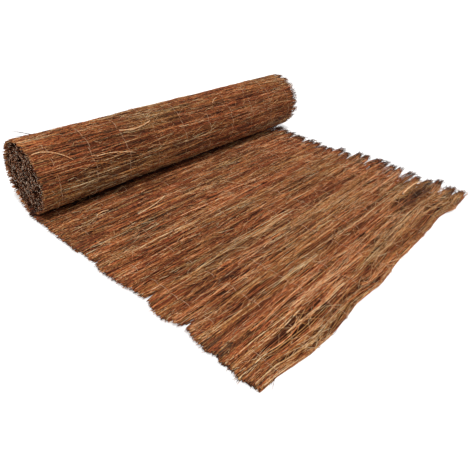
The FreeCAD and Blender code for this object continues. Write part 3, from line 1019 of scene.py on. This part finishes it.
def laid_tips():
    """The blunt, drawn-together tips of the tufts at the loose end."""
    rng = draws("laid_right_tips")
    count = TIPS_PER_BUNDLE * LAID_BUNDLES
    bundle = rng.integers(0, LAID_BUNDLES, count)
    home = LAID.centre[bundle] + rng.uniform(-0.5, 0.5, count) * BUNDLE_PITCH
    tip = LAID.right[bundle] - rng.exponential(9 * MM, count) - fallen_short(LAID, home)
    share = shares(4)
    x = tip[:, None] - TIP_LENGTH * (1 - share)
    s, _ = kept_in_tuft(x, home[:, None] + 0 * x, LAID, bundle, LOOSE_TWIGS)
    h = -rng.uniform(1.5 * MM, LAYER - 1.5 * MM, (count, 1)) + rng.normal(0, 0.4 * MM, x.shape)
    tone, cast = rng.uniform(0.0, 0.34, count), rng.uniform(0.2, 0.9, count)
    radii = rng.uniform(0.6 * MM, 1.3 * MM, (count, 1)) * (1 - 0.2 * share)
    part = twigs(np.stack([x, s, h], axis=-1), radii, tone, cast, 3, on_floor)
    heather("laid_right_tips", [part], "laid_heather")


def fringe(name, strip, count, at_right, tones):
    """Thin hairs that stick out past one end of a strip, each a little askew."""
    rng = draws(name)
    bundle = rng.integers(0, len(strip.centre), count)
    across = strip.centre[bundle] + rng.uniform(-0.5, 0.5, count) * strip.pitch
    length = rng.uniform(*FRINGE_LENGTH, count)
    askew = np.clip(rng.normal(0, FRINGE_ANGLE, count), -0.5, 0.5)
    past = rng.uniform(*FRINGE_PAST_END, count)
    if at_right:
        tip, heading = strip.right[bundle] + past, 1.0
    else:
        tip, heading = strip.left[bundle] - past + left_outline(strip, across), -1.0
    share = shares(4)
    x = (tip - heading * length)[:, None] + heading * length[:, None] * share
    root, _ = kept_in_tuft(x[:, :1], across[:, None], strip, bundle, LOOSE_TWIGS)
    s = clear_of_slits(x, root + (length * np.tan(askew))[:, None] * share, strip.slits)
    rise = rng.uniform(-1.5 * MM, 3 * MM, (count, 1))
    h = -rng.uniform(0.5 * MM, 0.7 * LAYER, (count, 1)) + rise * share ** 2
    radii = rng.uniform(0.4 * MM, 0.75 * MM, (count, 1)) * (1 - 0.3 * share)
    tone, cast = rng.uniform(*tones, count), rng.uniform(0.2, 0.9, count)
    part = twigs(np.stack([x, s, h], axis=-1), radii, tone, cast, 3, strip.wrap, pointed=True)
    heather(name, [part], strip.node)


left_ends()
left_rim("roll_left_rim", ROLL, ROLL_RIM)
right_ends()
laid_butts()
left_rim("laid_left_rim", LAID, LAID_RIM)
laid_tips()
fringe("laid_left_fringe", LAID, 1100, at_right=False, tones=(0.1, 0.7))
fringe("laid_right_fringe", LAID, 1500, at_right=True, tones=(0.0, 0.4))
fringe("roll_left_fringe", ROLL, 200, at_right=False, tones=(0.0, 0.5))
fringe("roll_right_fringe", ROLL, 620, at_right=True, tones=(0.0, 0.45))


# Pale stems that stand out. Each is its (x, s) points, its thickness, and whether it ends in a knob
LAID_PALE_STEMS = (
    (((-0.314, 0.551), (-0.26, 0.558), (-0.201, 0.580)), 2.0 * MM, True),
    (((-0.392, 0.615), (-0.375, 0.618), (-0.355, 0.617)), 2.3 * MM, False),
    (((-0.194, 0.240), (-0.176, 0.243), (-0.154, 0.239)), 1.8 * MM, False),
    (((-0.018, 0.535), (0.0, 0.488), (0.025, 0.437)), 0.9 * MM, False),
    (((0.300, 0.121), (0.360, 0.123), (0.424, 0.118)), 4.2 * MM, False),
    (((-0.052, 0.022), (-0.02, 0.004), (0.019, -0.012)), 0.9 * MM, False),
    (((-0.045, 0.014), (-0.03, -0.006), (-0.012, -0.022)), 0.8 * MM, False),
)
# On the roll, each is its (x, degrees) points
ROLL_PALE_STEMS = (
    (((-0.252, 126), (-0.199, 130), (-0.151, 124)), 2.0 * MM, True),
    (((-0.342, 154), (-0.286, 157), (-0.232, 167)), 1.7 * MM, False),
    (((-0.486, 125), (-0.447, 129), (-0.402, 149)), 1.7 * MM, False),
    (((-0.068, 148), (-0.02, 150), (0.029, 150)), 1.6 * MM, True),
    (((0.095, 123), (0.112, 116), (0.128, 113)), 1.5 * MM, False),
)
PALE_STEM_RADIUS = 0.58    # of a pale stem, against its thickness
PALE_STEM_REST, PALE_STEM_ARCH = 1.8 * MM, 1.6 * MM   # how high its ends lie, and its middle above them
PALE_STEM_TONE = 0.97
# Stray hairs that stand off the roll by its left end, as (x, s, z) from root to tip
STRAY_HAIRS = (
    ((-0.392, 0.809, 0.163), (-0.426, 0.820, 0.174), (-0.450, 0.8237, 0.184), (-0.472, 0.826, 0.190)),
    ((-0.385, 0.800, 0.168), (-0.420, 0.808, 0.172), (-0.450, 0.810, 0.177), (-0.470, 0.818, 0.180)),
    ((-0.410, 0.812, 0.160), (-0.440, 0.816, 0.166), (-0.462, 0.818, 0.172), (-0.480, 0.822, 0.173)),
)
STRAY_HAIR_RADIUS = 1.1 * MM
STRAY_HAIR_TONE, STRAY_HAIR_CAST = 0.22, 0.85


def stray_hairs():
    """Thin dry hairs that stick out over the roll's left end."""
    paths = np.array(STRAY_HAIRS) + (0, FRONT_Y, 0)
    count, nodes = paths.shape[:2]
    radii = np.full((count, nodes), STRAY_HAIR_RADIUS) * np.linspace(1, 0.8, nodes)
    tone, cast = np.full(count, STRAY_HAIR_TONE), np.full(count, STRAY_HAIR_CAST)
    heather("roll_stray_hairs", [twigs(paths, radii, tone, cast, 3, in_place, pointed=True)],
            "rolled_heather")


def pale_stems(name, strip, stems):
    """The pale stems of one stretch as a piece."""
    rng = draws(name)
    share = np.linspace(0, 1, 13)
    h = PALE_STEM_REST + PALE_STEM_ARCH * np.sin(math.pi * share)
    paths, radii = [], []
    for points, thickness, knobbed in stems:
        x, s = np.array(points).T
        along = x[0] + (x[-1] - x[0]) * share
        across = np.polyval(np.polyfit(x, s, 2), along) + rng.normal(0, 0.25 * MM, len(share))
        paths.append(np.stack([along, across, h], axis=-1))
        knob = 0.9 * np.exp(-((share - 0.93) / 0.055) ** 2) if knobbed else 0
        radii.append(PALE_STEM_RADIUS * thickness * (1.15 - 0.45 * share + knob))
    tone, cast = np.full(len(stems), PALE_STEM_TONE), rng.uniform(0.1, 0.4, len(stems))
    heather(name, [twigs(np.array(paths), np.array(radii), tone, cast, 6, strip.wrap)], strip.node, SAWN)


def flattened(stems):
    """The roll's pale stems with s in the place of the angle round the roll."""
    return [([(x, math.radians(270 - angle) * MEAN_RADIUS) for x, angle in points], thickness, knobbed)
            for points, thickness, knobbed in stems]


stray_hairs()
pale_stems("laid_pale_stems", LAID, LAID_PALE_STEMS)
pale_stems("roll_pale_stems", ROLL, flattened(ROLL_PALE_STEMS))


# Tying wires
WIRE_RADIUS = 0.58 * MM
WIRE_STEP = BUNDLE_PITCH / 6
WIRE_SQUARENESS = 3.2      # how steeply a wire goes from over one bundle to under the next
WIRE_SWAY = 1.2 * MM
HIDDEN_STITCHES = 0.42     # the share of stitches that twigs cover
HIDDEN_DEPTH = 5.5 * MM
# The two wires of a row: how far each is from the row's line, where in its stitch it starts, and how high
# its stitches stand
WIRE_PAIR = ((-1.6 * MM, 0.0, 2.4 * MM), (1.6 * MM, math.pi, 0.8 * MM))
UNDER_LAID, UNDER_ROLLED = -LAYER + 0.8 * MM, -6 * MM   # how low a wire goes under a bundle
LAID_WIRE = (12 * MM, LAID_LENGTH - 10 * MM)            # where along s it starts and stops
ROLLED_WIRE = (30 * MM, ROUND_ROLL - 4 * MM)


def stitches(rng, row_x, start, stop, phase, top, under):
    """A wire that goes over one bundle and under the next: nodes as (x, s, h)."""
    s = np.arange(start, stop, WIRE_STEP)
    swing = np.tanh(WIRE_SQUARENESS * np.sin(math.pi * s / BUNDLE_PITCH + phase))
    swing = swing / math.tanh(WIRE_SQUARENESS)
    knots = np.arange(start, stop + BUNDLE_PITCH, BUNDLE_PITCH)
    sway = np.interp(s, knots, rng.normal(0, WIRE_SWAY, len(knots)))
    hidden = rng.uniform(0, 1, len(knots)) < HIDDEN_STITCHES
    covered = np.interp(s, knots, np.where(hidden, -HIDDEN_DEPTH, 0.0))
    h = under + (top + covered - under) * (swing + 1) / 2
    return np.stack([row_x + sway, s, h], axis=-1)


def front_loop(row_x):
    """Where a wire comes up round the front edge."""
    angles = np.radians(np.linspace(250, 100, 7))
    s = LAYER / 2 + (LAYER / 2 + 0.8 * MM) * np.cos(angles)
    h = -LAYER / 2 + (LAYER / 2 + 0.4 * MM) * np.sin(angles)
    return np.stack([np.full_like(s, row_x), s, h], axis=-1)


def strand(path, wrap):
    """One wire along its nodes."""
    radii = np.full((1, len(path)), WIRE_RADIUS)
    return twigs(path[None], radii, np.zeros(1), np.zeros(1), 3, wrap, level=(1.0, 0.0, 0.0))


def tie_rows():
    """Rows of wire, each a pair that crosses between bundles."""
    for number, name in enumerate(WIRE_NODES):
        rng = np.random.default_rng(FIRST_WIRE_SEED + number)
        low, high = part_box(name)
        row_x = (low.x + high.x) / 2
        parts = []
        for offset, phase, top in WIRE_PAIR:
            wire_x = row_x + offset
            laid = stitches(rng, wire_x, *LAID_WIRE, phase, top, UNDER_LAID)
            if phase == 0.0:
                laid = np.concatenate([front_loop(wire_x), laid])
            rolled = stitches(rng, wire_x, *ROLLED_WIRE, phase, top, UNDER_ROLLED)
            parts += [strand(laid, on_floor), strand(rolled, on_roll)]
        stands_for(joined("stitched_" + name, parts, [galvanised, galvanised]), name)


tie_rows()


# Stage, light and camera

def stage():
    """A plain white floor that the camera sees a little brighter than it lights the mat."""
    shape = bmesh.new()
    bmesh.ops.create_grid(shape, x_segments=1, y_segments=1, size=FLOOR_SIZE)
    mesh = mesh_from(shape, "floor")
    material, tree, shader = new_material("white_floor", 0.9, 0.0)
    set_inputs(shader, {"Base Color": FLOOR_WHITE})
    seen = node(tree, "ShaderNodeLightPath").outputs["Is Camera Ray"]
    dark = node(tree, "ShaderNodeEmission", {"Strength": 0.0}).outputs[0]
    glow = node(tree, "ShaderNodeEmission", {"Strength": FLOOR_GLOW}).outputs[0]
    camera_only = node(tree, "ShaderNodeMixShader", {0: seen, 1: dark, 2: glow}).outputs[0]
    both = node(tree, "ShaderNodeAddShader", {0: shader.outputs[0], 1: camera_only}).outputs[0]
    set_inputs(tree.nodes["Material Output"], {"Surface": both})
    placed("floor", mesh, [material])


def light():
    """Soft light from all round, which the camera sees as white, and one soft lamp overhead."""
    world = bpy.data.worlds.new("studio")
    bpy.context.scene.world = world
    world.use_nodes = True
    tree = world.node_tree
    seen = node(tree, "ShaderNodeLightPath").outputs["Is Camera Ray"]
    seen_white = {0: seen, 1: 1 - SKY_STRENGTH, 2: SKY_STRENGTH}
    strength = node(tree, "ShaderNodeMath", seen_white, operation="MULTIPLY_ADD").outputs[0]
    set_inputs(tree.nodes["Background"], {"Color": (1, 1, 1, 1), "Strength": strength})

    lamp = bpy.data.lights.new("overhead_softbox", "SUN")
    lamp.energy = LAMP_STRENGTH
    lamp.angle = LAMP_ANGLE
    lamp_object = bpy.data.objects.new("overhead_softbox", lamp)
    lamp_object.rotation_euler = Vector(LAMP_FROM).to_track_quat("Z", "Y").to_euler()
    bpy.context.scene.collection.objects.link(lamp_object)


def camera():
    """The photograph's viewpoint: fitted to the outlines of the roll and the laid stretch."""
    level = Vector((math.cos(CAMERA_YAW), -math.sin(CAMERA_YAW), 0))
    forward = Vector((math.sin(CAMERA_YAW) * math.cos(CAMERA_PITCH),
                      math.cos(CAMERA_YAW) * math.cos(CAMERA_PITCH), -math.sin(CAMERA_PITCH)))
    upright = level.cross(forward)
    right = math.cos(CAMERA_TILT) * level + math.sin(CAMERA_TILT) * upright
    up = -math.sin(CAMERA_TILT) * level + math.cos(CAMERA_TILT) * upright
    data = bpy.data.cameras.new("viewpoint")
    data.sensor_width = CAMERA_SENSOR
    data.lens = CAMERA_LENS
    eye = bpy.data.objects.new("viewpoint", data)
    turn = Matrix((right, up, -forward)).transposed()
    eye.matrix_world = Matrix.Translation(CAMERA_PLACE) @ turn.to_4x4()
    bpy.context.scene.collection.objects.link(eye)
    bpy.context.scene.camera = eye


stage()
light()
camera()
bpy.context.scene.view_settings.view_transform = "Standard"
